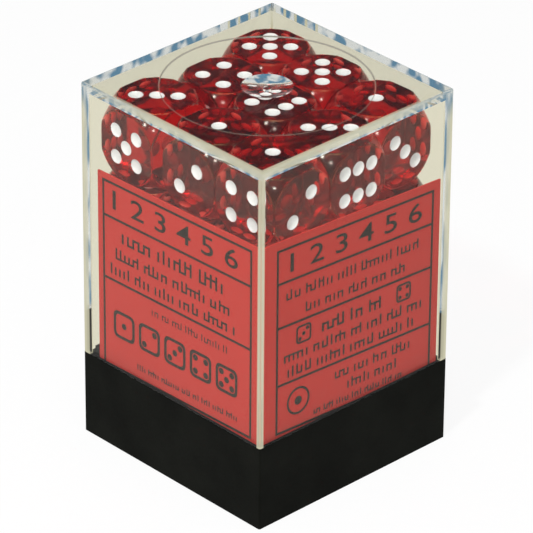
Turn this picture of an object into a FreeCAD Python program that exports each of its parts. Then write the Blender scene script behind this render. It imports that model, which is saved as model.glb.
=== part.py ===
"""Dice block: a clear moulded cover on a black tray, packed with loose dice and a folded card.

Frame: origin at the middle of the tray's underside, +Z up.  The card stands against the
-X and -Y walls.  All sizes are in millimetres.
"""
import FreeCAD, Part
import math
import os

# --- dice -------------------------------------------------------------------------------
die_size = 12.0              # across two opposite faces
corner_cut = 1.7423          # from a sharp cube's corner to the ball that rounds it
pip_diameter = 2.55
pip_depth = 0.45
pip_offset = 2.36            # from a face's middle to the pips of 3, 4, 5 and 6
two_offset = 1.96            # the same on the face with two pips
six_spacing = 2.87           # along a row of three
dice_across = 3
dice_layers = 4
die_gap = 0.08               # least air between neighbours in a layer
layer_gap = 0.02             # air film between layers

# --- walls and clearances ---------------------------------------------------------------
cover_wall = 1.2
cover_top = 1.9
headroom = 2.0               # from the top layer to the underside of the cover's top
lip_wall = 0.7
lip_rise = 1.3               # how far the lip stands above the rim, inside the cover
pocket_play = 0.8            # room across the tray's pocket around the bottom layer
card_thickness = 0.3
card_clearance = 0.075       # on each side of the card in its groove
card_foot_gap = 0.1          # under the card's lowest corner

# --- tray -------------------------------------------------------------------------------
base_height = 14.9           # underside to the rim that carries the cover
pocket_depth = 2.9           # rim to the floor that carries the dice
groove_depth = 3.0           # rim to the bottom of the card's groove
base_plate = 1.5             # plate under the groove
base_wall = 1.6              # skirt around the hollow underside
base_edge_radius = 0.3

# --- card -------------------------------------------------------------------------------
card_height = 36.2           # at the fold
card_fold_radius = 0.25      # outside of the fold
card_left_length = 37.1      # panel on the -X wall, from the fold
card_right_length = 38.4     # panel on the -Y wall, from the fold
card_left_slope = 1.5        # degrees that this panel's edges fall away from the fold
card_right_slope = 3.0

# --- cover ------------------------------------------------------------------------------
cover_edge_radius = 0.35
cover_inner_radius = 0.3
ring_diameter = 34.0         # shallow round step in the top
ring_depth = 0.2
gate_diameter = 8.3          # dished gate mark in the middle of the top
gate_depth = 0.8
stub_diameter = 1.3          # cut-off sprue in the gate mark
stub_height = 0.5
stub_root = 0.4              # the stub's length inside the top

# --- sizes that follow ------------------------------------------------------------------
corner_ball_radius = die_size * math.sqrt(3) / 2 - corner_cut
dice_side = dice_across * die_size
pocket_side = dice_side + pocket_play
lip_side = pocket_side + 2 * lip_wall
groove_width = card_thickness + 2 * card_clearance
cavity_side = lip_side + 2 * groove_width
box_side = cavity_side + 2 * cover_wall
pocket_floor = base_height - pocket_depth
groove_floor = base_height - groove_depth
stack_height = dice_layers * die_size + (dice_layers - 1) * layer_gap
cover_underside = pocket_floor + layer_gap + stack_height + headroom
box_height = cover_underside + cover_top

# How loosely each die of a layer lies: shares of the free play along x and y, and of the
# widest turn that the play allows.  Keys are the die's place along x and y.
pattern_side = 3
LOOSE = {
    (0, 0): (0.63, -0.91, 0.05), (0, 1): (0.56, -0.91, 0.04), (0, 2): (0.33, 0.66, 0.00),
    (1, 0): (0.66, -0.94, 0.00), (1, 1): (0.58, -0.92, 0.00), (1, 2): (0.77, -0.83, 0.06),
    (2, 0): (0.77, 0.77, 0.16), (2, 1): (0.88, 0.92, 0.04), (2, 2): (0.88, 0.92, 0.05),
}

# The lower layers use up less of the play along y, and lean towards the -Y wall.
lower_spread = 0.5
lower_lean = -0.45

# The number on top of each die of the top layer, and the number that faces -Y.
TOP_NUMBERS = {
    (0, 0): (1, 2), (0, 1): (1, 3), (0, 2): (3, 1),
    (1, 0): (3, 6), (1, 1): (6, 4), (1, 2): (4, 6),
    (2, 0): (1, 3), (2, 1): (5, 3), (2, 2): (5, 1),
}

# How the number on top of the lower dice changes with the column, the row and the layer.
COLUMN_STEP, ROW_STEP, LAYER_STEP = 2, 3, 5

# Outward direction of each number on a die that lies with 1 up and 2 towards -Y.
NUMBER_FACES = {
    1: (0, 0, 1), 2: (0, -1, 0), 3: (1, 0, 0), 4: (-1, 0, 0), 5: (0, 1, 0), 6: (0, 0, -1),
}


def vec(x, y, z):
    return FreeCAD.Vector(x, y, z)


def square_block(side, z_low, z_high):
    """Square block centred on the vertical axis."""
    return Part.makeBox(side, side, z_high - z_low, vec(-side / 2, -side / 2, z_low))


def upright_edges(shape, side):
    """Vertical edges at the corners of a square outline."""
    found = []
    for edge in shape.Edges:
        spread, middle = edge.BoundBox, edge.CenterOfMass
        upright = spread.XLength < 1e-6 and spread.YLength < 1e-6
        off_corner = max(abs(abs(middle.x) - side / 2), abs(abs(middle.y) - side / 2))
        if upright and off_corner < 1e-6:
            found.append(edge)
    return found


def rounded_block(side, z_low, z_high, radius):
    """Square block with rounded vertical edges."""
    block = square_block(side, z_low, z_high)
    return block.makeFillet(radius, upright_edges(block, side))


def pip_places(number):
    """Pip centres on a face, in that face's two in-plane directions."""
    near, two, six = pip_offset, two_offset, six_spacing
    return {
        1: [(0, 0)],
        2: [(two, two), (-two, -two)],
        3: [(-near, near), (0, 0), (near, -near)],
        4: [(a, b) for a in (-near, near) for b in (-near, near)],
        5: [(a, b) for a in (-near, near) for b in (-near, near)] + [(0, 0)],
        6: [(a, b) for a in (-near, near) for b in (-six, 0, six)],
    }[number]


def face_point(number, across, along, height):
    """A point above the face of a number, in the die's own frame."""
    normal = NUMBER_FACES[number]
    axis = [abs(part) for part in normal].index(1)
    place = [0.0, 0.0, 0.0]
    first, second = [index for index in range(3) if index != axis]
    place[first], place[second] = across, along
    place[axis] = normal[axis] * height
    return vec(*place)


def make_die():
    """One die about its own middle: rounded corners and a dished pip for each spot."""
    half = die_size / 2
    body = Part.makeBox(die_size, die_size, die_size, vec(-half, -half, -half))
    body = body.common(Part.makeSphere(corner_ball_radius))
    pip_ball = (pip_diameter ** 2 / 4 + pip_depth ** 2) / (2 * pip_depth)
    cutters = []
    for number in NUMBER_FACES:
        for across, along in pip_places(number):
            centre = face_point(number, across, along, half + pip_ball - pip_depth)
            cutters.append(Part.makeSphere(pip_ball, centre))
    return body.cut(Part.makeCompound(cutters))


def number_rotation(up, front):
    """Rotation that puts number up on top and number front towards -Y."""
    top = vec(*NUMBER_FACES[up])
    back = vec(*NUMBER_FACES[front]) * -1
    right = back.cross(top)
    matrix = FreeCAD.Matrix(right.x, right.y, right.z, 0,
                            back.x, back.y, back.z, 0,
                            top.x, top.y, top.z, 0,
                            0, 0, 0, 1)
    return FreeCAD.Rotation(matrix)


def numbers_shown(layer, column, row):
    """Top and -Y numbers of a die; the layers under the top one are tumbled."""
    if layer == dice_layers - 1:
        return TOP_NUMBERS[(column % pattern_side, row % pattern_side)]
    up = (COLUMN_STEP * column + ROW_STEP * row + LAYER_STEP * layer) % 6 + 1
    sides = [number for number in range(1, 7) if number not in (up, 7 - up)]
    return up, sides[(column + 2 * row + layer) % 4]


def loose_place(layer, column, row):
    """Share of play along x and y, and of turn; each layer mirrors the one above it."""
    flip_x = layer % 2 == 0
    flip_y = layer // 2 == 0
    if flip_x:
        column = dice_across - 1 - column
    if flip_y:
        row = dice_across - 1 - row
    share_x, share_y, turn = LOOSE[(column % pattern_side, row % pattern_side)]
    if flip_x:
        share_x, turn = -share_x, -turn
    if flip_y:
        share_y, turn = -share_y, -turn
    if layer < dice_layers - 1:
        share_y = share_y * lower_spread + lower_lean
    return share_x, share_y, turn


def die_seat(layer, column, row):
    """Centre and turn of a die, from the room around its layer."""
    gaps = (dice_across - 1) * die_gap
    if layer == 0:
        play, middle = pocket_side - dice_side - gaps, 0.0
    else:
        play, middle = cavity_side - groove_width - dice_side - gaps, groove_width / 2
    share_x, share_y, share_turn = loose_place(layer, column, row)
    pitch = die_size + die_gap
    first = -(dice_across - 1) / 2 * pitch + middle
    x = first + column * pitch + share_x * play / 2
    y = first + row * pitch + share_y * play / 2
    z = pocket_floor + layer_gap + die_size / 2 + layer * (die_size + layer_gap)
    widest_turn = math.degrees(play / die_size)
    return vec(x, y, z), share_turn * widest_turn


def base_tray():
    """Black tray: hollow underside, rim, card groove, lip and a pocket for the dice."""
    body = rounded_block(box_side, 0, base_height, base_edge_radius)
    body = body.fuse(square_block(lip_side, groove_floor, base_height + lip_rise))
    groove = square_block(cavity_side, groove_floor, base_height)
    groove = groove.cut(square_block(lip_side, groove_floor, base_height))
    pocket = square_block(pocket_side, pocket_floor, base_height + lip_rise)
    underside = rounded_block(box_side - 2 * base_wall, 0, groove_floor - base_plate, base_edge_radius)
    return body.cut(groove).cut(pocket).cut(underside).removeSplitter()


def clear_cover():
    """Clear cover: four walls and a top with a shallow round step and a dished gate mark."""
    body = square_block(box_side, base_height, box_height)
    top_edges = [edge for edge in body.Edges if edge.BoundBox.ZMin > box_height - 1e-6]
    body = body.makeFillet(cover_edge_radius, upright_edges(body, box_side) + top_edges)
    cavity = rounded_block(cavity_side, base_height, cover_underside, cover_inner_radius)
    ring = Part.makeCylinder(ring_diameter / 2, ring_depth, vec(0, 0, box_height - ring_depth))
    dish_ball = (gate_diameter ** 2 / 4 + gate_depth ** 2) / (2 * gate_depth)
    dish_floor = box_height - ring_depth - gate_depth
    dish = Part.makeSphere(dish_ball, vec(0, 0, dish_floor + dish_ball))
    stub = Part.makeCylinder(stub_diameter / 2, stub_height + stub_root, vec(0, 0, dish_floor - stub_root))
    return body.cut(cavity).cut(ring).cut(dish).fuse(stub).removeSplitter()


def card_panel(length, slope):
    """One upright panel in the XZ plane from its fold at x = 0, with sloping edges."""
    fall = length * math.tan(math.radians(slope))
    corners = [(0, 0), (length, -fall), (length, card_height - fall), (0, card_height)]
    outline = Part.makePolygon([vec(x, 0, z) for x, z in corners + corners[:1]])
    return Part.Face(outline).extrude(vec(0, card_thickness, 0))


def label_card():
    """Folded card in the corner between the -X and -Y walls, standing in the groove."""
    lowest = max(card_left_length * math.tan(math.radians(card_left_slope)),
                 card_right_length * math.tan(math.radians(card_right_slope)))
    corner = -cavity_side / 2 + card_clearance
    fold = vec(corner, corner, groove_floor + card_foot_gap + lowest)
    right = card_panel(card_right_length, card_right_slope)
    left = card_panel(card_left_length, card_left_slope)
    left.rotate(vec(0, 0, 0), vec(0, 0, 1), 90)
    left.translate(vec(card_thickness, 0, 0))
    card = right.fuse(left).removeSplitter()
    folds = [edge for edge in card.Edges if edge.BoundBox.XMax < 1e-6 and edge.BoundBox.YMax < 1e-6]
    card = card.makeFillet(card_fold_radius, folds)
    card.translate(fold)
    return card


def die_name(layer, column, row):
    """Layers count from the tray up, columns along +X and rows along +Y."""
    return f"die_layer{layer + 1}_column{column + 1}_row{row + 1}"


def dice():
    """Every die in its place."""
    pattern = make_die()
    placed = {}
    for layer in range(dice_layers):
        for column in range(dice_across):
            for row in range(dice_across):
                centre, turn = die_seat(layer, column, row)
                numbers = number_rotation(*numbers_shown(layer, column, row))
                spin = FreeCAD.Rotation(vec(0, 0, 1), turn)
                die = pattern.copy()
                die.Placement = FreeCAD.Placement(centre, spin.multiply(numbers))
                placed[die_name(layer, column, row)] = die
    return placed


def main():
    os.makedirs("parts", exist_ok=True)
    nodes = {"base_tray": base_tray(), "clear_cover": clear_cover(), "label_card": label_card()}
    nodes.update(dice())
    for name, shape in nodes.items():
        shape.exportStep(os.path.join("parts", name + ".step"))
    print(f"{len(nodes)} nodes, box {box_side:.2f} x {box_side:.2f} x {box_height:.2f} mm")


main()
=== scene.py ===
"""Looks of a dice block: a clear moulded cover on a black tray, packed with red dice and a folded card.

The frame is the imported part's own, in metres, +Z up, with its origin at the middle of the tray's
underside.  The card stands against the -X and -Y walls.  Each piece built here rides on the body of
the sub-part that it stands for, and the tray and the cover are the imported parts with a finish.
"""
import math
import random
import re

import bmesh
import bpy
from bpy.props import FloatProperty, FloatVectorProperty, IntProperty, PointerProperty
from mathutils import Matrix, Vector
from mathutils.geometry import delaunay_2d_cdt


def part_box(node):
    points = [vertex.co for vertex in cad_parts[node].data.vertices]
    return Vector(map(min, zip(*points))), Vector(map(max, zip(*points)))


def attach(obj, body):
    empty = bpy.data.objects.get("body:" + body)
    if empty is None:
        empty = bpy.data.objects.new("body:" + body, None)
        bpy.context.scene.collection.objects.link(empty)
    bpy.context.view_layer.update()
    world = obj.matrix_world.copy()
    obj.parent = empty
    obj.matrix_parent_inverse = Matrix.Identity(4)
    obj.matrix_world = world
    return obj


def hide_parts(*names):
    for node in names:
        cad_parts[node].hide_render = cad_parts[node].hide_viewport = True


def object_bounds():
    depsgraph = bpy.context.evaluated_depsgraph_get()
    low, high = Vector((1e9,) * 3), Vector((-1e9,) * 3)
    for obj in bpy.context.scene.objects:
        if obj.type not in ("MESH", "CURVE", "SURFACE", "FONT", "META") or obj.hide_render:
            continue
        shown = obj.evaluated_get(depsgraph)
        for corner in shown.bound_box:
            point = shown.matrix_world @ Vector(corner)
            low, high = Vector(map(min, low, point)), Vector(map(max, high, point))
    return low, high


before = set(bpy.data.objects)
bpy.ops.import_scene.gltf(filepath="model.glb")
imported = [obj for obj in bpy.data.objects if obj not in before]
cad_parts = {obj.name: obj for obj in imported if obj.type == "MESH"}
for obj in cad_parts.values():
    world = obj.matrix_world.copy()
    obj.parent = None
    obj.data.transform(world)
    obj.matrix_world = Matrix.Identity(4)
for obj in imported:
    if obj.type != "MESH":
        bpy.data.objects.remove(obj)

bl_info = {
    "name": "Dice Block",
    "version": (1, 0, 0),
    "blender": (4, 5, 0),
    "location": "View3D > Sidebar > Dice Block",
    "description": "Builds the looks of a boxed set of dice around its packed frame",
    "category": "Object",
}

MM = 0.001
CAD_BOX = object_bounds()
CARD_LOW, CARD_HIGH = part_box("label_card")
DIE_LOW, DIE_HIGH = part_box("die_layer1_column1_row1")

# The number on top of each die of the top layer, and the number that faces -Y.
TOP_NUMBERS = {
    (0, 0): (1, 2), (0, 1): (1, 3), (0, 2): (3, 1),
    (1, 0): (3, 6), (1, 1): (6, 4), (1, 2): (4, 6),
    (2, 0): (1, 3), (2, 1): (5, 3), (2, 2): (5, 1),
}
PATTERN_SIDE = 3

# How the number on top of the lower dice changes with the column, the row and the layer.
COLUMN_STEP, ROW_STEP, LAYER_STEP = 2, 3, 5

# Outward direction of each number on a die that lies with 1 up and 2 towards -Y.
NUMBER_FACES = {
    1: (0, 0, 1), 2: (0, -1, 0), 3: (1, 0, 0), 4: (-1, 0, 0), 5: (0, 1, 0), 6: (0, 0, -1),
}


# --- properties -------------------------------------------------------------------------

def linear(hex_colour):
    """An sRGB hex colour as linear red, green, blue and full alpha."""
    parts = [int(hex_colour[place:place + 2], 16) / 255 for place in (1, 3, 5)]
    return [part / 12.92 if part <= 0.04045 else ((part + 0.055) / 1.055) ** 2.4
            for part in parts] + [1.0]


def size(name, description, default):
    """A length that a user may change, in metres."""
    return FloatProperty(name=name, description=description, default=default, min=0.0,
                         subtype="DISTANCE", unit="LENGTH", precision=5)


def paint(name, description, hex_colour):
    """A colour that a user may change."""
    return FloatVectorProperty(name=name, description=description, default=linear(hex_colour),
                               size=4, min=0.0, max=1.0, subtype="COLOR")


class DiceSettings(bpy.types.PropertyGroup):
    side: size("Side", "Across two opposite faces", DIE_HIGH.z - DIE_LOW.z)
    corner_ball: size("Corner ball", "Radius of the ball that rounds the corners", 8.65 * MM)
    crease: size("Crease", "Width of the polished round along each face's edge", 0.3 * MM)
    pip_diameter: size("Pip diameter", "Across one dished spot", 2.55 * MM)
    pip_depth: size("Pip depth", "Depth of one dished spot", 0.45 * MM)
    pip_offset: size("Pip offset", "From a face's middle to the spots of 3, 4, 5 and 6", 2.36 * MM)
    two_offset: size("Two offset", "From a face's middle to the spots of 2", 1.96 * MM)
    six_spacing: size("Six spacing", "Along a row of three spots", 2.87 * MM)
    acrylic: paint("Acrylic", "Tint where light enters the dice", "#FFE2DE")
    depth_colour: paint("Depth colour", "Colour that light turns on its way through", "#F45C00")
    spot: paint("Spots", "Colour of the paint in the spots", "#E9EBF2")


class CardSettings(bpy.types.PropertyGroup):
    thickness: size("Thickness", "Thickness of the card", 0.3 * MM)
    fold_radius: size("Fold radius", "Outside of the fold", 0.25 * MM)
    height: size("Height", "Height of the card at its fold", 36.2 * MM)
    rule_width: size("Rule width", "Width of the printed frame lines", 0.45 * MM)
    ink_height: size("Ink height", "How far the print stands above the card", 0.012 * MM)
    stock: paint("Card stock", "Colour of the card", "#BE3029")
    ink: paint("Ink", "Colour of the print", "#1A120C")


class CaseSettings(bpy.types.PropertyGroup):
    grain: size("Grain", "Width of one grain of the tray's satin surface", 0.35 * MM)
    flow: size("Flow", "Width of one flow wave in the clear cover", 13.0 * MM)
    # The edge strips are a painted glow: an emission along the cover's edges stands in for the light that
    # gathers there.
    edge: size("Edge", "Width of the strip of gathered light along the cover's edges", 0.85 * MM)
    side_edge: size("Side edge", "The same strip at the upright edges on the left and right", 1.6 * MM)
    step: size("Step", "Radius of the round step in the cover's top", 17.0 * MM)
    # Colour of a painted glow, an emission along the cover's edges.
    painted_edge_light: paint("Edge light", "Colour of the light gathered in the cover's edges", "#CFCBB0")
    # Colour of a painted line of shade, an emission at the cover's round step.
    painted_step_line: paint("Step line", "Colour of the thin line at the round step", "#8A8578")
    tray: paint("Tray", "Colour of the tray", "#121310")
    cover: paint("Cover", "Tint of each surface of the clear cover", "#EFEDE0")


class StageSettings(bpy.types.PropertyGroup):
    azimuth: FloatProperty(name="Azimuth", description="Camera's direction round the part",
                           default=math.radians(226.37), subtype="ANGLE", unit="ROTATION")
    elevation: FloatProperty(name="Elevation", description="Camera's height above the horizon",
                             default=math.radians(29.54), subtype="ANGLE", unit="ROTATION")
    roll: FloatProperty(name="Roll", description="Turn of the camera about its own axis",
                        default=math.radians(0.45), subtype="ANGLE", unit="ROTATION")
    distance: size("Distance", "From the camera to the point it aims at", 0.7578)
    aim_x: FloatProperty(name="Aim X", description="Aim, from the part's middle", default=-0.83 * MM,
                         subtype="DISTANCE", unit="LENGTH")
    aim_y: FloatProperty(name="Aim Y", description="Aim, from the part's middle", default=-1.04 * MM,
                         subtype="DISTANCE", unit="LENGTH")
    lens: FloatProperty(name="Lens", description="Focal length in millimetres", default=320.2)
    floor: paint("Floor", "Colour of the floor", "#FFFFFF")
    overhead: paint("Overhead", "Colour of the dim room above the part", "#46525E")
    key_power: FloatProperty(name="Key power", description="Power of the main lamp", default=4.2)
    fill_power: FloatProperty(name="Fill power", description="Power of the overhead lamp", default=2.5)
    catch_power: FloatProperty(name="Catch power", description="Power of the small lamp in front",
                               default=2.5)
    bounces: IntProperty(name="Bounces", description="Bounces that light makes through clear pieces",
                         default=24)


SETTINGS = {
    "dice_block_dice": DiceSettings,
    "dice_block_card": CardSettings,
    "dice_block_case": CaseSettings,
    "dice_block_stage": StageSettings,
}


# --- materials --------------------------------------------------------------------------

# Noise lies mostly inside this range, which each pattern spreads over what it needs.
NOISE_RANGE = {"From Min": 0.35, "From Max": 0.65}


def add(tree, kind, inputs=None, **settings):
    """A node with its settings, and with each input set, or linked to a socket or to a node's result."""
    node = tree.nodes.new(kind)
    for name, value in settings.items():
        setattr(node, name, value)
    for name, value in (inputs or {}).items():
        if isinstance(value, bpy.types.Node):
            value = next(result for result in value.outputs if result.enabled)
        if isinstance(value, bpy.types.NodeSocket):
            tree.links.new(value, node.inputs[name])
        else:
            node.inputs[name].default_value = value
    return node


def empty_material(name):
    """A material with no nodes."""
    material = bpy.data.materials.new(name)
    material.use_nodes = True
    material.node_tree.nodes.clear()
    return material, material.node_tree


def noise(tree, width, detail=2.0, stretch=(1, 1, 1)):
    """Noise whose marks are about that wide, in metres, from 0 to 1."""
    where = add(tree, "ShaderNodeTexCoord").outputs["Object"]
    where = add(tree, "ShaderNodeMapping", {"Vector": where, "Scale": stretch})
    return add(tree, "ShaderNodeTexNoise", {"Vector": where, "Scale": 1 / width, "Detail": detail})


def mottled(tree, first, second, pattern):
    """A colour that a noise pattern varies between two shades."""
    share = add(tree, "ShaderNodeMapRange", {"Value": pattern, **NOISE_RANGE})
    return add(tree, "ShaderNodeMix", {0: share, 6: first, 7: second}, data_type="RGBA")


def shade(colour, share):
    """A colour with its brightness scaled."""
    return [part * share for part in colour[:3]] + [1.0]


def lamps_pass(tree, surface):
    """A clear surface that lets lamp light through, so that what it covers is lit."""
    path = add(tree, "ShaderNodeLightPath").outputs
    unseen = add(tree, "ShaderNodeMath", {0: path["Is Shadow Ray"], 1: path["Is Diffuse Ray"]},
                 operation="MAXIMUM")
    return add(tree, "ShaderNodeMixShader", {
        0: unseen, 1: surface, 2: add(tree, "ShaderNodeBsdfTransparent")})


def moulded_black_polystyrene(case):
    """Polystyrene moulded in a lightly etched tool: black, with a satin grain that dulls reflections."""
    material, tree = empty_material("polystyrene moulded black")
    grain = noise(tree, case.grain)
    cloud = noise(tree, 9 * MM, detail=3.0)
    surface = add(tree, "ShaderNodeBsdfPrincipled", {
        "Base Color": mottled(tree, shade(case.tray, 0.8), shade(case.tray, 1.25), cloud),
        "Roughness": add(tree, "ShaderNodeMapRange", {
            "Value": grain, **NOISE_RANGE, "To Min": 0.42, "To Max": 0.58}),
        "IOR": 1.45, "Specular IOR Level": 0.02,
        "Normal": add(tree, "ShaderNodeBump", {"Height": grain, "Strength": 0.35, "Distance": 0.02 * MM})})
    add(tree, "ShaderNodeOutputMaterial", {"Surface": surface})
    return material


def cover_edges(tree, case, place, across):
    """1 along the cover's edges, where two of its outer faces meet, and 0 elsewhere."""
    # The two upright edges at the cover's sides show wider than the one in front.
    aside = add(tree, "ShaderNodeMath", {0: across}, operation="ABSOLUTE")
    upright = add(tree, "ShaderNodeMapRange", {
        "Value": aside, "From Min": 4 * MM, "From Max": 6 * MM,
        "To Min": case.side_edge, "To Max": case.edge})
    faces_near = 0.0
    for axis, reach, width in zip("XYZ", CAD_BOX[1], (upright, upright, 1.4 * case.edge)):
        depth = add(tree, "ShaderNodeMath", {0: place[axis]}, operation="ABSOLUTE")
        depth = add(tree, "ShaderNodeMath", {0: reach, 1: depth}, operation="SUBTRACT")
        depth = add(tree, "ShaderNodeMath", {0: depth, 1: width}, operation="DIVIDE")
        near = add(tree, "ShaderNodeMapRange", {
            "Value": depth, "From Min": 0.8, "From Max": 1, "To Min": 1, "To Max": 0})
        faces_near = add(tree, "ShaderNodeMath", {0: faces_near, 1: near}, operation="ADD")
    return add(tree, "ShaderNodeMapRange", {"Value": faces_near, "From Min": 1, "From Max": 2})


def cover_step(tree, case, place):
    """1 on the wall of the round step in the cover's top, and 0 elsewhere."""
    top, half_line, fade = CAD_BOX[1].z, 0.06 * MM, 0.14 * MM
    flat = add(tree, "ShaderNodeCombineXYZ", {0: place["X"], 1: place["Y"]})
    away = add(tree, "ShaderNodeVectorMath", {0: flat}, operation="LENGTH")
    away = add(tree, "ShaderNodeMath", {0: away, 1: case.step}, operation="SUBTRACT")
    away = add(tree, "ShaderNodeMath", {0: away}, operation="ABSOLUTE")
    line = add(tree, "ShaderNodeMapRange", {
        "Value": away, "From Min": half_line, "From Max": fade, "To Min": 1, "To Max": 0})
    above = add(tree, "ShaderNodeMapRange", {
        "Value": place["Z"], "From Min": top - 0.35 * MM, "From Max": top - 0.3 * MM})
    return add(tree, "ShaderNodeMath", {0: line, 1: above}, operation="MULTIPLY")


def painted_wall_glow(tree, across):
    """Painted glow for what leaks out of a wall: pale and dark bands of emission, creamy in front and sky
    blue at the back.
    """
    back = add(tree, "ShaderNodeMapRange", {"Value": across, "From Min": 0, "From Max": 14 * MM})
    dark, pale = (
        add(tree, "ShaderNodeMix", {0: back, 6: linear(painted_cream), 7: linear(blue)}, data_type="RGBA")
        for painted_cream, blue in (("#A19F90", "#6F9ABA"), ("#EAE7D8", "#F4F8FA")))
    streaks = noise(tree, 2.2 * MM, detail=1.0, stretch=(1, 1, 0.3))
    band = add(tree, "ShaderNodeMapRange", {"Value": streaks, "From Min": 0.42, "From Max": 0.58})
    painted_leak_colour = add(tree, "ShaderNodeMix", {0: band, 6: dark, 7: pale}, data_type="RGBA")
    return add(tree, "ShaderNodeEmission", {"Color": painted_leak_colour, "Strength": 0.8})


def moulded_clear_polystyrene(case):
    """Clear polystyrene, moulded: glossy and faintly warm, with slow flow waves that bend what is seen; its
    glows and its step line are painted.
    """
    material, tree = empty_material("polystyrene moulded clear")
    waves = noise(tree, case.flow, detail=1.0, stretch=(1, 1, 0.5))
    surface = add(tree, "ShaderNodeBsdfPrincipled", {
        "Base Color": case.cover, "Transmission Weight": 1.0, "IOR": 1.46,
        "Specular Tint": (0.06, 0.04, 0.02, 1),
        "Roughness": add(tree, "ShaderNodeMapRange", {
            "Value": noise(tree, 4 * MM), **NOISE_RANGE, "To Min": 0.0, "To Max": 0.025}),
        "Normal": add(tree, "ShaderNodeBump", {"Height": waves, "Strength": 0.3, "Distance": 0.06 * MM})})
    place = add(tree, "ShaderNodeTexCoord").outputs["Object"]
    place = add(tree, "ShaderNodeSeparateXYZ", {0: place}).outputs
    across = add(tree, "ShaderNodeMath", {0: place["X"], 1: place["Y"]}, operation="ADD")
    # Painted glow: a ray that has bounced many times inside a wall meets an emission, which stands in for
    # the light that leaks out again.
    bounces = add(tree, "ShaderNodeLightPath").outputs["Ray Depth"]
    painted_glow_share = add(tree, "ShaderNodeMath", {0: bounces, 1: 9.5}, operation="GREATER_THAN")
    surface = add(tree, "ShaderNodeMixShader", {0: painted_glow_share, 1: surface, 2: painted_wall_glow(tree, across)})
    # Painted glow: an emission paints the edges as solid creamy strips, standing in for the light they
    # gather, but for the back's top.
    top = CAD_BOX[1].z
    high = add(tree, "ShaderNodeMapRange", {
        "Value": place["Z"], "From Min": top - 6 * MM, "From Max": top - 2 * MM})
    behind = add(tree, "ShaderNodeMapRange", {"Value": across, "From Min": -16 * MM, "From Max": 2 * MM})
    behind = add(tree, "ShaderNodeMath", {0: behind, 1: high}, operation="MULTIPLY")
    kept = add(tree, "ShaderNodeMapRange", {
        "Value": behind, "From Min": 0, "From Max": 1, "To Min": 0.75, "To Max": 0})
    strip = add(tree, "ShaderNodeMath", {0: cover_edges(tree, case, place, across), 1: kept},
                operation="MULTIPLY")
    painted_cream = add(tree, "ShaderNodeEmission", {"Color": case.painted_edge_light, "Strength": 1.0})
    surface = add(tree, "ShaderNodeMixShader", {0: strip, 1: surface, 2: painted_cream})
    # Painted shade: an emission paints the round step as a thin dark line, standing in for its little wall
    # sending the light aside.
    line = add(tree, "ShaderNodeMath", {0: cover_step(tree, case, place), 1: 0.75}, operation="MULTIPLY")
    painted_step_grey = add(tree, "ShaderNodeEmission", {"Color": case.painted_step_line, "Strength": 1.0})
    surface = add(tree, "ShaderNodeMixShader", {0: line, 1: surface, 2: painted_step_grey})
    add(tree, "ShaderNodeOutputMaterial", {"Surface": lamps_pass(tree, surface)})
    return material


def die_creases(tree, dice):
    """1 on the narrow creases round a die's faces, and 0 on its flats and ball-shaped corners."""
    away = add(tree, "ShaderNodeTexCoord").outputs["Object"]
    away = add(tree, "ShaderNodeVectorMath", {0: away}, operation="LENGTH")
    rim = math.hypot(dice.side / 2, math.sqrt(dice.corner_ball ** 2 - dice.side ** 2 / 4) - dice.crease)
    past_flat = add(tree, "ShaderNodeMapRange", {
        "Value": away, "From Min": rim - 0.01 * MM, "From Max": rim + 0.01 * MM})
    before_ball = add(tree, "ShaderNodeMapRange", {
        "Value": away, "From Min": dice.corner_ball - 0.02 * MM, "From Max": dice.corner_ball - 0.005 * MM,
        "To Min": 1, "To Max": 0})
    return add(tree, "ShaderNodeMath", {0: past_flat, 1: before_ball}, operation="MULTIPLY")


def cast_red_acrylic(dice):
    """Acrylic, cast and tumble polished: see-through, and the deeper the light goes the redder it gets."""
    material, tree = empty_material("acrylic cast red")
    swirl = noise(tree, 5 * MM)
    # Painted highlight: the creases' reflections are tinted warm orange, so that they show as orange arcs,
    # and the flats' reflections are dimmed to a fifth.
    painted_crease_tint = add(tree, "ShaderNodeMix", {
        0: die_creases(tree, dice), 6: (0.2, 0.2, 0.2, 1), 7: (1.0, 0.72, 0.4, 1)}, data_type="RGBA")
    surface = add(tree, "ShaderNodeBsdfPrincipled", {
        "Base Color": dice.acrylic, "Transmission Weight": 1.0, "IOR": 1.49, "Specular Tint": painted_crease_tint,
        "Roughness": add(tree, "ShaderNodeMapRange", {
            "Value": swirl, **NOISE_RANGE, "To Min": 0.1, "To Max": 0.15}),
        "Normal": add(tree, "ShaderNodeBump", {"Height": swirl, "Strength": 0.4, "Distance": 0.12 * MM})})
    add(tree, "ShaderNodeOutputMaterial", {
        "Surface": lamps_pass(tree, surface),
        "Volume": add(tree, "ShaderNodeVolumeAbsorption", {"Color": dice.depth_colour, "Density": 420.0})})
    return material


def spot_enamel(dice):
    """White enamel wiped into the spots: even and slightly glossy, with faint wiping streaks."""
    material, tree = empty_material("enamel spot white")
    streak = noise(tree, 0.3 * MM, stretch=(1, 4, 1))
    surface = add(tree, "ShaderNodeBsdfPrincipled", {
        "Base Color": mottled(tree, shade(dice.spot, 0.94), dice.spot, streak),
        "Roughness": add(tree, "ShaderNodeMapRange", {
            "Value": streak, **NOISE_RANGE, "To Min": 0.3, "To Max": 0.45})})
    add(tree, "ShaderNodeOutputMaterial", {"Surface": surface})
    return material


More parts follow.
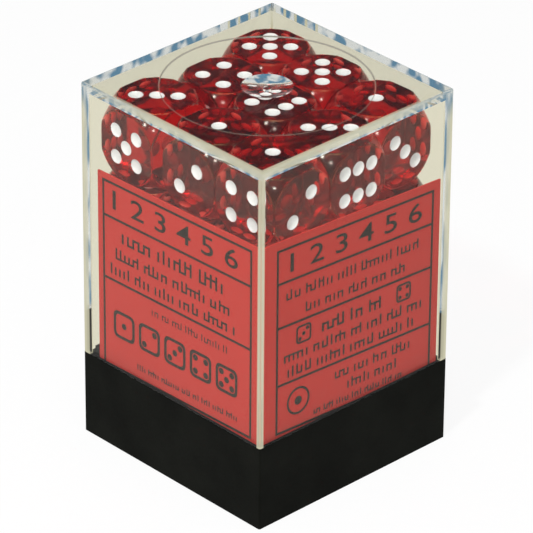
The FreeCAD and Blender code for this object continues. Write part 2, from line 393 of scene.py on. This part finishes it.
def card_stock(card):
    """Uncoated card, dyed through: matt, with the fibres' light and dark mottle."""
    material, tree = empty_material("card uncoated red")
    fibre = noise(tree, 0.35 * MM, detail=4.0, stretch=(1, 1, 2.5))
    cloud = add(tree, "ShaderNodeMapRange", {"Value": noise(tree, 7 * MM), **NOISE_RANGE, "To Max": 0.5})
    colour = mottled(tree, shade(card.stock, 0.9), shade(card.stock, 1.05), fibre)
    colour = add(tree, "ShaderNodeMix", {0: cloud, 6: colour, 7: shade(card.stock, 0.93)}, data_type="RGBA")
    surface = add(tree, "ShaderNodeBsdfPrincipled", {
        "Base Color": colour,
        "Roughness": add(tree, "ShaderNodeMapRange", {
            "Value": fibre, **NOISE_RANGE, "To Min": 0.8, "To Max": 0.95}),
        "Specular IOR Level": 0.2,
        "Normal": add(tree, "ShaderNodeBump", {"Height": fibre, "Strength": 0.3, "Distance": 0.02 * MM})})
    add(tree, "ShaderNodeOutputMaterial", {"Surface": surface})
    return material


def printing_ink(card):
    """Offset ink on uncoated card: thin and dark, a little broken up by the fibres."""
    material, tree = empty_material("ink offset dark")
    fibre = noise(tree, 0.35 * MM, detail=3.0)
    surface = add(tree, "ShaderNodeBsdfPrincipled", {
        "Base Color": mottled(tree, card.ink, shade(card.ink, 1.4), fibre),
        "Roughness": add(tree, "ShaderNodeMapRange", {
            "Value": fibre, **NOISE_RANGE, "To Min": 0.6, "To Max": 0.8}),
        "Specular IOR Level": 0.3})
    add(tree, "ShaderNodeOutputMaterial", {"Surface": surface})
    return material


def seen_rays(tree):
    """1 for rays that show the stage to the eye, straight, mirrored or through clear pieces."""
    path = add(tree, "ShaderNodeLightPath").outputs
    mirrored = add(tree, "ShaderNodeMath", {0: path["Is Camera Ray"], 1: path["Is Glossy Ray"]},
                   operation="MAXIMUM")
    return add(tree, "ShaderNodeMath", {0: mirrored, 1: path["Is Transmission Ray"]}, operation="MAXIMUM")


def floor_paper(stage):
    """Smooth white paper: it reads as plain white and still takes the part's soft shadow."""
    material, tree = empty_material("paper floor white")
    colour = mottled(tree, shade(stage.floor, 0.78), shade(stage.floor, 0.8), noise(tree, 1.5 * MM))
    glow_share = add(tree, "ShaderNodeMath", {0: seen_rays(tree), 1: 0.88}, operation="MULTIPLY")
    surface = add(tree, "ShaderNodeMixShader", {
        0: glow_share, 1: add(tree, "ShaderNodeBsdfDiffuse", {"Color": colour}),
        2: add(tree, "ShaderNodeEmission", {"Color": stage.floor, "Strength": 1.0})})
    add(tree, "ShaderNodeOutputMaterial", {"Surface": surface})
    return material


# --- mesh helpers -----------------------------------------------------------------------

def new_object(name, data):
    """An object in the scene, from a mesh, curve, lamp or camera."""
    made = bpy.data.objects.new(name, data)
    bpy.context.scene.collection.objects.link(made)
    return made


def finished_mesh(name, work, materials, sharp_angle):
    """A mesh from a bmesh, smooth up to that angle in degrees."""
    mesh = bpy.data.meshes.new(name)
    for material in materials:
        mesh.materials.append(material)
    bmesh.ops.recalc_face_normals(work, faces=work.faces)
    work.to_mesh(mesh)
    work.free()
    mesh.shade_smooth()
    mesh.set_sharp_from_angle(angle=math.radians(sharp_angle))
    return mesh


# --- dice -------------------------------------------------------------------------------

def pip_places(dice, number):
    """Spot centres on a face, in that face's two in-plane directions."""
    near, two, six = dice.pip_offset, dice.two_offset, dice.six_spacing
    return {
        1: [(0, 0)],
        2: [(two, two), (-two, -two)],
        3: [(-near, near), (0, 0), (near, -near)],
        4: [(a, b) for a in (-near, near) for b in (-near, near)],
        5: [(a, b) for a in (-near, near) for b in (-near, near)] + [(0, 0)],
        6: [(a, b) for a in (-near, near) for b in (-six, 0, six)],
    }[number]


def numbers_shown(layer, column, row, layers):
    """Top and -Y numbers of a die; the layers under the top one are tumbled."""
    if layer == layers - 1:
        return TOP_NUMBERS[(column % PATTERN_SIDE, row % PATTERN_SIDE)]
    up = (COLUMN_STEP * column + ROW_STEP * row + LAYER_STEP * layer) % 6 + 1
    sides = [number for number in range(1, 7) if number not in (up, 7 - up)]
    return up, sides[(column + 2 * row + layer) % len(sides)]


def face_edge(dice, share):
    """A point on the arc where a face's flat ends at a corner, from one edge of the face to the next."""
    half = dice.side / 2
    flat = math.sqrt(dice.corner_ball ** 2 - half ** 2)
    first = math.acos(half / flat)
    angle = first + (math.pi / 2 - 2 * first) * share
    return flat * math.cos(angle), flat * math.sin(angle)


def corner_points(dice, steps):
    """Evenly spread points of the round corner between the +X, +Y and +Z faces, by their weights."""
    half = dice.side / 2
    points = {}
    for second in range(steps + 1):
        for third in range(steps + 1 - second):
            first = steps - second - third
            if third == 0:
                far, near = face_edge(dice, second / steps)
                points[first, second, third] = Vector((far, half, near))
            elif second == 0:
                far, near = face_edge(dice, third / steps)
                points[first, second, third] = Vector((half, far, near))
            elif first == 0:
                far, near = face_edge(dice, third / steps)
                points[first, second, third] = Vector((near, far, half))
            else:
                points[first, second, third] = Vector()
    inner = [key for key in points if min(key) > 0]
    ends = [points[steps, 0, 0], points[0, steps, 0], points[0, 0, steps]]
    for key in inner:
        middle = sum((end * weight for end, weight in zip(ends, key)), Vector())
        points[key] = middle.normalized() * dice.corner_ball
    moves = [(1, -1, 0), (-1, 1, 0), (1, 0, -1), (-1, 0, 1), (0, 1, -1), (0, -1, 1)]
    rounds = 4 * steps
    for _ in range(rounds):
        for key in inner:
            near = [points[tuple(a + b for a, b in zip(key, move))] for move in moves]
            points[key] = (sum(near, Vector()) / len(near)).normalized() * dice.corner_ball
    return points


def rounded_cube(dice, steps):
    """The die without its spots: eight ball-shaped corners between six flats, with soft creases."""
    work = bmesh.new()
    half = dice.side / 2
    same = half * 1e-5
    pattern = corner_points(dice, steps)
    for flips in [(a, b, c) for a in (1, -1) for b in (1, -1) for c in (1, -1)]:
        corner = {key: work.verts.new([part * flip for part, flip in zip(point, flips)])
                  for key, point in pattern.items()}
        for first, second, third in corner:
            if first > 0:
                ahead = [(first - 1, second + 1, third), (first - 1, second, third + 1)]
                work.faces.new([corner[first, second, third]] + [corner[key] for key in ahead])
                if third > 0:
                    behind = (first - 1, second + 1, third), (first, second + 1, third - 1)
                    work.faces.new([corner[first, second, third]] + [corner[key] for key in behind])
    bmesh.ops.remove_doubles(work, verts=work.verts, dist=2 * same)
    for axis in range(3):
        for sign in (1, -1):
            rim = [vert for vert in work.verts if abs(vert.co[axis] - sign * half) < same]
            rim.sort(key=lambda vert: math.atan2(vert.co[axis - 2], vert.co[axis - 1]))
            work.faces.new(rim)
    bmesh.ops.recalc_face_normals(work, faces=work.faces)
    creases = [edge for edge in work.edges if any(len(face.verts) > 4 for face in edge.link_faces)]
    bmesh.ops.bevel(work, geom=creases, offset=dice.crease, offset_type="OFFSET", segments=3,
                    profile=0.5, affect="EDGES")
    return work


def dished_pip(work, rim, centre, normal, dice, rings):
    """Closes a round hole with a dish: clear at the rim, painted inside."""
    radius = dice.pip_diameter / 2
    ball = (radius ** 2 + dice.pip_depth ** 2) / (2 * dice.pip_depth)
    outer = rim
    for share in rings:
        depth = math.sqrt(ball ** 2 - (radius * share) ** 2) - (ball - dice.pip_depth)
        inner = [work.verts.new(centre + (vert.co - centre) * share - normal * depth) for vert in rim]
        for place, vert in enumerate(outer):
            after = (place + 1) % len(rim)
            face = work.faces.new([vert, outer[after], inner[after], inner[place]])
            face.material_index = 0 if outer is rim else 1
        outer = inner
    bottom = work.verts.new(centre - normal * dice.pip_depth)
    for place, vert in enumerate(outer):
        face = work.faces.new([vert, outer[(place + 1) % len(outer)], bottom])
        face.material_index = 1


def cut_pips(work, dice, facets, rings):
    """Fills each flat again around round holes, and dishes the holes."""
    flats = [face for face in work.faces if len(face.verts) > 4]
    radius = dice.pip_diameter / 2
    for flat in flats:
        normal = flat.normal.copy()
        axis = max(range(3), key=lambda place: abs(normal[place]))
        first, second = [place for place in range(3) if place != axis]
        normal = Vector([math.copysign(1, normal[axis]) if place == axis else 0 for place in range(3)])
        number = next(key for key, face in NUMBER_FACES.items() if Vector(face) == normal)
        height = flat.verts[0].co[axis]
        loops = [list(flat.verts)]
        centres = []
        for across, along in pip_places(dice, number):
            centre = Vector((0, 0, 0))
            centre[first], centre[second], centre[axis] = across, along, height
            centres.append(centre)
            ring = []
            for step in range(facets):
                angle = 2 * math.pi * step / facets
                spot = centre.copy()
                spot[first] += radius * math.cos(angle)
                spot[second] += radius * math.sin(angle)
                ring.append(work.verts.new(spot))
            loops.append(ring)
        work.faces.remove(flat)
        verts = [vert for loop in loops for vert in loop]
        edges, start = [], 0
        for loop in loops:
            edges += [(start + place, start + (place + 1) % len(loop)) for place in range(len(loop))]
            start += len(loop)
        # Worked in millimetres, where the triangulation's own tolerance is fine enough.
        points = [Vector((vert.co[first], vert.co[second])) / MM for vert in verts]
        inside_only, tolerance = 1, 1e-6
        _, _, triangles, origins, _, _ = delaunay_2d_cdt(points, edges, [], inside_only, tolerance)
        holes = [set(ring) for ring in loops[1:]]
        for triangle in triangles:
            corners = [verts[origins[corner][0]] for corner in triangle]
            if not any(hole.issuperset(corners) for hole in holes):
                work.faces.new(corners)
        for centre, ring in zip(centres, loops[1:]):
            dished_pip(work, ring, centre, normal, dice, rings)


def polish(mesh, dice):
    """Gives the flats, their creases and the round corners the normals of the true surface."""
    normals = [corner.vector.copy() for corner in mesh.corner_normals]
    level_enough = 0.99999
    level = {}
    for face in mesh.polygons:
        axis = max(range(3), key=lambda place: abs(face.normal[place]))
        if abs(face.normal[axis]) > level_enough:
            straight = Vector([math.copysign(1, face.normal[axis]) if place == axis else 0
                               for place in range(3)])
            for corner in face.loop_indices:
                normals[corner] = straight
                level[mesh.loops[corner].vertex_index] = straight
    inside, dishes_reach = dice.side / 2 * 0.9999, dice.side * 0.62
    for face in mesh.polygons:
        if max(abs(part) for part in face.center) > inside and not face.material_index:
            continue
        below = [max(abs(part) for part in mesh.vertices[vert].co) < inside for vert in face.vertices]
        dished = any(below) and face.center.length < dishes_reach
        for corner in face.loop_indices:
            vert = mesh.loops[corner].vertex_index
            place = mesh.vertices[vert].co
            if abs(place.length - dice.corner_ball) < dice.side * 1e-5:
                normals[corner] = place.normalized()
            elif vert in level and not dished:
                normals[corner] = level[vert]
    mesh.normals_split_custom_set(normals)


def number_rotation(up, front):
    """Rotation that puts number up on top and number front towards -Y."""
    top = Vector(NUMBER_FACES[up])
    back = -Vector(NUMBER_FACES[front])
    return Matrix([back.cross(top), back, top])


def packed_turn(node):
    """How far a packed die is turned about the vertical, from the way its side faces point."""
    total = Vector((0, 0))
    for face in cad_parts[node].data.polygons:
        across = Vector(face.normal[:2])
        if face.normal.x > 0.9 and abs(face.normal.z) < 0.1:  # upright, towards +X
            total += across * face.area
    return math.atan2(total.y, total.x)


def die_nodes():
    """Every packed die's node with its zero-based layer, column and row."""
    found = {}
    for node in sorted(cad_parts):
        match = re.fullmatch(r"die_layer(\d+)_column(\d+)_row(\d+)", node)
        if match:
            found[node] = tuple(int(part) - 1 for part in match.groups())
    return found


class DICEBLOCK_OT_dice(bpy.types.Operator):
    """Cast red dice with dished white spots, one for each packed die"""

    bl_idname = "dice_block.dice"
    bl_label = "Build Dice"

    def execute(self, context):
        dice = context.scene.dice_block_dice
        work = rounded_cube(dice, steps=10)
        cut_pips(work, dice, facets=24, rings=(0.96, 0.7, 0.36))
        mesh = finished_mesh("die", work, [cast_red_acrylic(dice), spot_enamel(dice)], sharp_angle=34)
        polish(mesh, dice)
        places = die_nodes()
        layers = max(layer for layer, _, _ in places.values()) + 1
        for node, (layer, column, row) in places.items():
            low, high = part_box(node)
            die = new_object(node.replace("die_", "cast_die_"), mesh)
            numbers = number_rotation(*numbers_shown(layer, column, row, layers)).to_4x4()
            spin = Matrix.Rotation(packed_turn(node), 4, "Z")
            die.matrix_world = Matrix.Translation((low + high) / 2) @ spin @ numbers
            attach(die, f"die_{layer + 1}{column + 1}{row + 1}")
            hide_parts(node)
        return {"FINISHED"}


# --- card -------------------------------------------------------------------------------

def end_drop(axis):
    """How far the card's top edge has fallen at the end of the panel that runs along that axis."""
    points = [vert.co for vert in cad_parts["label_card"].data.vertices]
    end = max(point[axis] for point in points)
    at_end = [point for point in points if abs(point[axis] - end) < 0.01 * MM]
    return CARD_HIGH.z - max(point.z for point in at_end)


def panel_place(card, axis):
    """For a panel along axis, a function from (along, up, out) to a place.

    along is counted from the fold, negative on the panel along Y, so that print reads from left to
    right; up is the height above the card's bottom edge, and out the distance in front of the card."""
    reach = CARD_HIGH[axis] - CARD_LOW[axis]
    slope = end_drop(axis) / reach
    foot = CARD_HIGH.z - card.height

    def place(along, up, out):
        point = Vector((CARD_LOW.x, CARD_LOW.y, foot + up - abs(along) * slope))
        point[axis] += abs(along)
        point[1 - axis] -= out
        return point

    return place


def card_outline(card, cuts=24, steps=6):
    """The card's plan from its -X end to its -Y end: outside, inside, panel's axis, way from the fold."""
    bend = card.fold_radius
    columns = []
    reach = CARD_HIGH.y - CARD_LOW.y
    for step in range(cuts):
        along = reach - (reach - bend) * step / cuts
        columns.append(((0, along), (card.thickness, along), 1, along))
    for step in range(steps + 1):
        angle = math.pi + math.pi / 2 * step / steps
        outer = (bend + bend * math.cos(angle), bend + bend * math.sin(angle))
        columns.append((outer, (card.thickness, card.thickness), 1 if step * 2 < steps else 0, 0.0))
    reach = CARD_HIGH.x - CARD_LOW.x
    for step in range(1, cuts + 1):
        along = bend + (reach - bend) * step / cuts
        columns.append(((along, 0), (along, card.thickness), 0, along))
    return columns


def folded_card(card):
    """The folded card as one closed sheet with sloping edges."""
    work = bmesh.new()
    slopes = {0: end_drop(0) / (CARD_HIGH.x - CARD_LOW.x), 1: end_drop(1) / (CARD_HIGH.y - CARD_LOW.y)}
    foot = CARD_HIGH.z - card.height
    rows = []
    for outer, inner, axis, along in card_outline(card):
        fall = along * slopes[axis]
        row = []
        for across, up in ((outer, 0), (outer, card.height), (inner, card.height), (inner, 0)):
            spot = (CARD_LOW.x + across[0], CARD_LOW.y + across[1], foot + up - fall)
            row.append(work.verts.new(spot))
        rows.append(row)
    for row, after in zip(rows, rows[1:]):
        for place in range(4):
            beside = (place + 1) % 4
            work.faces.new([row[place], row[beside], after[beside], after[place]])
    work.faces.new(rows[0])
    work.faces.new(rows[-1])
    bmesh.ops.remove_doubles(work, verts=work.verts, dist=1e-3 * MM)
    return work


# The print's underside floats just off the card, at this share of the print's height.
PRINT_FOOT = 0.15


def slab(work, place, height, outline, hole=None):
    """A thin closed printed shape on the card, with an optional hole of as many points."""
    loops = []
    for shape in filter(None, (outline, hole)):
        loops.append([[work.verts.new(place(x, y, out)) for x, y in shape]
                      for out in (PRINT_FOOT * height, height)])
    for sides in loops:
        for near in range(len(outline)):
            far = (near + 1) % len(outline)
            work.faces.new([sides[0][near], sides[0][far], sides[1][far], sides[1][near]])
    for level in range(2):
        if hole is None:
            work.faces.new(loops[0][level])
            continue
        for near in range(len(outline)):
            far = (near + 1) % len(outline)
            work.faces.new([loops[0][level][near], loops[0][level][far],
                            loops[1][level][far], loops[1][level][near]])


def box_points(left, right, low, high, radius=0.0, steps=3):
    """Outline of an upright box, with rounded corners if radius is given."""
    if radius == 0:
        return [(left, low), (right, low), (right, high), (left, high)]
    points = []
    for x, y, turn in ((right, low, 3), (right, high, 0), (left, high, 1), (left, low, 2)):
        middle_x = x - radius if x == right else x + radius
        middle_y = y - radius if y == high else y + radius
        for step in range(steps + 1):
            angle = math.pi / 2 * (turn + step / steps)
            points.append((middle_x + radius * math.cos(angle), middle_y + radius * math.sin(angle)))
    return points


def disc_points(x, y, radius, steps=14):
    """Outline of a disc."""
    turns = [2 * math.pi * step / steps for step in range(steps)]
    return [(x + radius * math.cos(turn), y + radius * math.sin(turn)) for turn in turns]


class Print:
    """Print on one panel of the card: every shape goes into one thin mesh."""

    def __init__(self, card, axis):
        self.work = bmesh.new()
        self.place = panel_place(card, axis)
        self.height = card.ink_height
        self.rule = card.rule_width

    def shape(self, outline, hole=None):
        slab(self.work, self.place, self.height, outline, hole)

    def frame(self, left, right, low, high, rules):
        """Outer frame with rules across it at the heights given."""
        inset = self.rule
        self.shape(box_points(left, right, low, high),
                   box_points(left + inset, right - inset, low + inset, high - inset))
        for height in rules:
            self.shape(box_points(left + inset, right - inset, height - inset / 2, height + inset / 2))

    def die_face(self, x, y, side, number):
        """A small picture of a die's face, with its left bottom corner at x, y."""
        line = spot = 0.115 * side
        outer_corner, inner_corner, step = 0.2 * side, 0.14 * side, 0.24 * side
        self.shape(box_points(x, x + side, y, y + side, outer_corner),
                   box_points(x + line, x + side - line, y + line, y + side - line, inner_corner))
        spots = {1: [(0, 0)], 2: [(-1, -1), (1, 1)], 3: [(-1, -1), (0, 0), (1, 1)],
                 4: [(a, b) for a in (-1, 1) for b in (-1, 1)],
                 5: [(a, b) for a in (-1, 1) for b in (-1, 1)] + [(0, 0)],
                 6: [(a, b) for a in (-1, 1) for b in (-1, 0, 1)]}[number]
        for across, along in spots:
            self.shape(disc_points(x + side / 2 + across * step, y + side / 2 + along * step, spot))

    def ring(self, x, y, radius, line):
        """A plain ring."""
        self.shape(disc_points(x, y, radius, steps=24), disc_points(x, y, radius - line, steps=24))

    def hatch(self, left, right, base, height, weight, seed):
        """A line of small upright strokes in groups, as a stand-in for a line of small type."""
        draw = random.Random(seed)
        pitch, low_height, thickness = 0.5 * height, height * 0.72, weight * 0.9
        tall_share, joined_share, joined_above_share = 0.35, 0.62, 0.38
        x, group = left, draw.randint(3, 7)
        while x + weight <= right:
            tall = draw.random() < tall_share
            self.shape(box_points(x, x + weight, base, base + (height if tall else low_height)))
            kind = draw.random()
            if kind < joined_share and group > 1 and x + pitch + weight <= right:
                bar = base + low_height - weight if kind < joined_above_share else base
                self.shape(box_points(x + weight, x + pitch, bar, bar + thickness))
            group -= 1
            x += pitch
            if group == 0:
                x += 0.7 * pitch
                group = draw.randint(3, 8)

    def digits(self, text, left, right, base, high):
        """Plain digits, fitted to a box."""
        curve = bpy.data.curves.new("digits", "FONT")
        curve.body = text
        curve.resolution_u = 3
        curve.extrude = 0.5
        curve.offset = 0.006
        holder = new_object("digits_holder", curve)
        ready = holder.evaluated_get(bpy.context.evaluated_depsgraph_get())
        mesh = bpy.data.meshes.new_from_object(ready)
        bpy.data.objects.remove(holder)
        low = [min(vert.co[axis] for vert in mesh.vertices) for axis in range(2)]
        top = [max(vert.co[axis] for vert in mesh.vertices) for axis in range(2)]
        verts = []
        for vert in mesh.vertices:
            x = left + (right - left) * (vert.co.x - low[0]) / (top[0] - low[0])
            y = base + (high - base) * (vert.co.y - low[1]) / (top[1] - low[1])
            out = self.height if vert.co.z > 0 else PRINT_FOOT * self.height
            verts.append(self.work.verts.new(self.place(x, y, out)))
        for face in mesh.polygons:
            self.work.faces.new([verts[place] for place in face.vertices])
        bpy.data.meshes.remove(mesh)


def left_print(card):
    """Print on the panel on the -X wall."""
    sheet = Print(card, 1)
    sheet.frame(-36.0 * MM, -1.4 * MM, 1.3 * MM, 35.25 * MM, (28.8 * MM, 17.5 * MM))
    sheet.digits("1 2 3 4 5 6", -33.6 * MM, -4.6 * MM, 30.4 * MM, 33.9 * MM)
    sheet.hatch(-31.5 * MM, -8.0 * MM, 24.9 * MM, 2.5 * MM, 0.46 * MM, 11)
    sheet.hatch(-33.0 * MM, -5.5 * MM, 21.6 * MM, 2.0 * MM, 0.4 * MM, 12)
    sheet.hatch(-34.2 * MM, -4.4 * MM, 18.6 * MM, 2.0 * MM, 0.4 * MM, 13)
    sheet.hatch(-24.5 * MM, -6.5 * MM, 14.6 * MM, 1.3 * MM, 0.22 * MM, 14)
    for number in range(1, 6):
        sheet.die_face((-33.6 + 6.0 * (number - 1)) * MM, 7.3 * MM, 5.0 * MM, number)
    sheet.hatch(-28.0 * MM, -4.4 * MM, 3.2 * MM, 1.1 * MM, 0.24 * MM, 15)
    return sheet.work


def right_print(card):
    """Print on the panel on the -Y wall."""
    sheet = Print(card, 0)
    sheet.frame(2.7 * MM, 37.0 * MM, 1.5 * MM, 34.8 * MM, (28.7 * MM, 20.8 * MM, 10.4 * MM))
    sheet.digits("1 2 3 4 5 6", 5.6 * MM, 34.4 * MM, 30.1 * MM, 33.5 * MM)
    sheet.hatch(4.8 * MM, 35.2 * MM, 25.3 * MM, 1.8 * MM, 0.34 * MM, 21)
    sheet.hatch(9.0 * MM, 31.0 * MM, 22.0 * MM, 1.8 * MM, 0.34 * MM, 22)
    sheet.die_face(7.0 * MM, 16.6 * MM, 3.3 * MM, 3)
    sheet.die_face(29.0 * MM, 16.6 * MM, 3.3 * MM, 4)
    sheet.hatch(12.6 * MM, 27.0 * MM, 17.1 * MM, 2.2 * MM, 0.44 * MM, 23)
    sheet.hatch(4.4 * MM, 35.4 * MM, 14.1 * MM, 1.9 * MM, 0.38 * MM, 24)
    sheet.hatch(5.2 * MM, 33.4 * MM, 11.3 * MM, 1.9 * MM, 0.38 * MM, 25)
    sheet.ring(7.6 * MM, 6.4 * MM, 2.5 * MM, 0.42 * MM)
    sheet.shape(disc_points(7.6 * MM, 6.4 * MM, 0.8 * MM))
    sheet.hatch(15.6 * MM, 33.0 * MM, 7.4 * MM, 1.8 * MM, 0.34 * MM, 26)
    sheet.hatch(18.4 * MM, 29.6 * MM, 4.8 * MM, 1.8 * MM, 0.34 * MM, 27)
    sheet.hatch(11.0 * MM, 31.0 * MM, 2.6 * MM, 1.2 * MM, 0.26 * MM, 28)
    return sheet.work


class DICEBLOCK_OT_card(bpy.types.Operator):
    """Folded card with its printed frames and marks"""

    bl_idname = "dice_block.card"
    bl_label = "Build Card"

    def execute(self, context):
        card = context.scene.dice_block_card
        mesh = finished_mesh("folded_card", folded_card(card), [card_stock(card)], sharp_angle=40)
        body = new_object("folded_card", mesh)
        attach(body, "card")
        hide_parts("label_card")
        ink = printing_ink(card)
        for name, panel_print in (("card_print_left", left_print), ("card_print_right", right_print)):
            printed = new_object(name, finished_mesh(name, panel_print(card), [ink], sharp_angle=30))
            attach(printed, "card")
        return {"FINISHED"}


# --- case -------------------------------------------------------------------------------

def refinish(node, material, angle=30):
    """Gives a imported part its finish, and smooths its rounds up to that angle in degrees."""
    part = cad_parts[node]
    part.data.materials.clear()
    part.data.materials.append(material)
    group = bpy.data.node_groups.new(node + "_smooth", "GeometryNodeTree")
    group.interface.new_socket("Geometry", in_out="INPUT", socket_type="NodeSocketGeometry")
    group.interface.new_socket("Geometry", in_out="OUTPUT", socket_type="NodeSocketGeometry")
    mesh = add(group, "NodeGroupInput").outputs[0]
    turn = add(group, "GeometryNodeInputMeshEdgeAngle").outputs["Unsigned Angle"]
    soft = add(group, "FunctionNodeCompare", {0: turn, 1: math.radians(angle)},
               operation="LESS_EQUAL").outputs[0]
    mesh = add(group, "GeometryNodeSetShadeSmooth", {"Geometry": mesh, "Selection": soft},
               domain="EDGE").outputs[0]
    mesh = add(group, "GeometryNodeSetShadeSmooth", {"Geometry": mesh}, domain="FACE").outputs[0]
    add(group, "NodeGroupOutput", {0: mesh})
    part.modifiers.new("smooth rounds", "NODES").node_group = group
    part.modifiers.new("normals", "WEIGHTED_NORMAL").keep_sharp = True
    return part


class DICEBLOCK_OT_case(bpy.types.Operator):
    """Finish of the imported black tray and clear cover"""

    bl_idname = "dice_block.case"
    bl_label = "Finish Case"

    def execute(self, context):
        case = context.scene.dice_block_case
        refinish("base_tray", moulded_black_polystyrene(case))
        refinish("clear_cover", moulded_clear_polystyrene(case))
        return {"FINISHED"}


# --- stage ------------------------------------------------------------------------------

def direction(azimuth, elevation):
    """Unit vector that points to a place in the sky."""
    level = math.cos(elevation)
    return Vector((level * math.cos(azimuth), level * math.sin(azimuth), math.sin(elevation)))


def soft_lamp(name, stage, middle, azimuth, elevation, side, power, distance=0.9):
    """A square lamp that shines on the part's middle, azimuth degrees round from the camera."""
    lamp = bpy.data.lights.new(name, "AREA")
    lamp.size = side
    lamp.energy = power
    holder = new_object(name, lamp)
    way = direction(stage.azimuth + math.radians(azimuth), math.radians(elevation))
    holder.location = middle + way * distance
    holder.rotation_euler = way.to_track_quat("Z", "Y").to_euler()


def studio_world(scene, stage):
    """White round the horizon and a dim room overhead, so that the clear top isn't veiled."""
    world = bpy.data.worlds.new("studio")
    world.use_nodes = True
    tree = world.node_tree
    tree.nodes.clear()
    way = add(tree, "ShaderNodeTexCoord").outputs["Generated"]
    height = add(tree, "ShaderNodeSeparateXYZ", {0: way}).outputs["Z"]
    rise = add(tree, "ShaderNodeMapRange", {
        "Value": height, "From Min": math.sin(math.radians(6)), "From Max": math.sin(math.radians(20))})
    room = add(tree, "ShaderNodeMix", {0: rise, 6: stage.floor, 7: stage.overhead}, data_type="RGBA")
    # Other rays only light the matt pieces, evenly and at a plain level.
    colour = add(tree, "ShaderNodeMix", {0: seen_rays(tree), 6: shade(stage.floor, 0.4), 7: room},
                 data_type="RGBA")
    glow = add(tree, "ShaderNodeBackground", {"Color": colour, "Strength": 1.0})
    add(tree, "ShaderNodeOutputWorld", {"Surface": glow})
    scene.world = world


class DICEBLOCK_OT_stage(bpy.types.Operator):
    """Pale floor, soft lamps, world and camera"""

    bl_idname = "dice_block.stage"
    bl_label = "Build Stage"

    def execute(self, context):
        scene = context.scene
        stage = scene.dice_block_stage
        low, high = CAD_BOX
        middle = (low + high) / 2
        work = bmesh.new()
        reach = 60 * (high - low).length
        bmesh.ops.create_circle(work, cap_ends=True, segments=96, radius=reach)
        mesh = bpy.data.meshes.new("floor")
        work.to_mesh(mesh)
        work.free()
        mesh.materials.append(floor_paper(stage))
        floor = new_object("floor", mesh)
        floor.location.z = low.z - 0.02 * MM
        soft_lamp("key_lamp", stage, middle, azimuth=-30, elevation=50, side=0.06, power=stage.key_power)
        soft_lamp("fill_lamp", stage, middle, azimuth=0, elevation=80, side=0.4, power=stage.fill_power)
        soft_lamp("catch_light", stage, middle, azimuth=-1.5, elevation=41, side=0.05,
                  power=stage.catch_power)
        studio_world(scene, stage)
        camera = bpy.data.cameras.new("camera")
        camera.lens = stage.lens
        camera.clip_start, camera.clip_end = 0.01, 50
        holder = new_object("camera", camera)
        way = direction(stage.azimuth, stage.elevation)
        holder.location = middle + Vector((stage.aim_x, stage.aim_y, 0)) + way * stage.distance
        facing = way.to_track_quat("Z", "Y").to_matrix() @ Matrix.Rotation(stage.roll, 3, "Z")
        holder.rotation_euler = facing.to_euler()
        scene.camera = holder
        scene.view_settings.view_transform = "Standard"
        scene.cycles.max_bounces = stage.bounces
        scene.cycles.transmission_bounces = stage.bounces
        scene.cycles.glossy_bounces = stage.bounces
        scene.cycles.transparent_max_bounces = stage.bounces
        return {"FINISHED"}


class DICEBLOCK_PT_sidebar(bpy.types.Panel):
    """Sizes, colours and builders of the dice block"""

    bl_idname = "DICEBLOCK_PT_sidebar"
    bl_label = "Dice Block"
    bl_space_type = "VIEW_3D"
    bl_region_type = "UI"
    bl_category = "Dice Block"

    def draw(self, context):
        for (holder, group), operator in zip(SETTINGS.items(), OPERATORS):
            box = self.layout.box()
            for name in group.__annotations__:
                box.prop(getattr(context.scene, holder), name)
            box.operator(operator.bl_idname)


OPERATORS = [DICEBLOCK_OT_dice, DICEBLOCK_OT_card, DICEBLOCK_OT_case, DICEBLOCK_OT_stage]


def register():
    for kind in [*SETTINGS.values(), *OPERATORS, DICEBLOCK_PT_sidebar]:
        bpy.utils.register_class(kind)
    for name, kind in SETTINGS.items():
        setattr(bpy.types.Scene, name, PointerProperty(type=kind))


def unregister():
    for name in SETTINGS:
        delattr(bpy.types.Scene, name)
    for kind in reversed([*SETTINGS.values(), *OPERATORS, DICEBLOCK_PT_sidebar]):
        bpy.utils.unregister_class(kind)


def main():
    register()
    for step in (bpy.ops.dice_block.case, bpy.ops.dice_block.dice, bpy.ops.dice_block.card,
                 bpy.ops.dice_block.stage):
        if step() != {"FINISHED"}:
            raise RuntimeError(f"{step.idname()} did not finish")


if __name__ == "__main__":
    main()
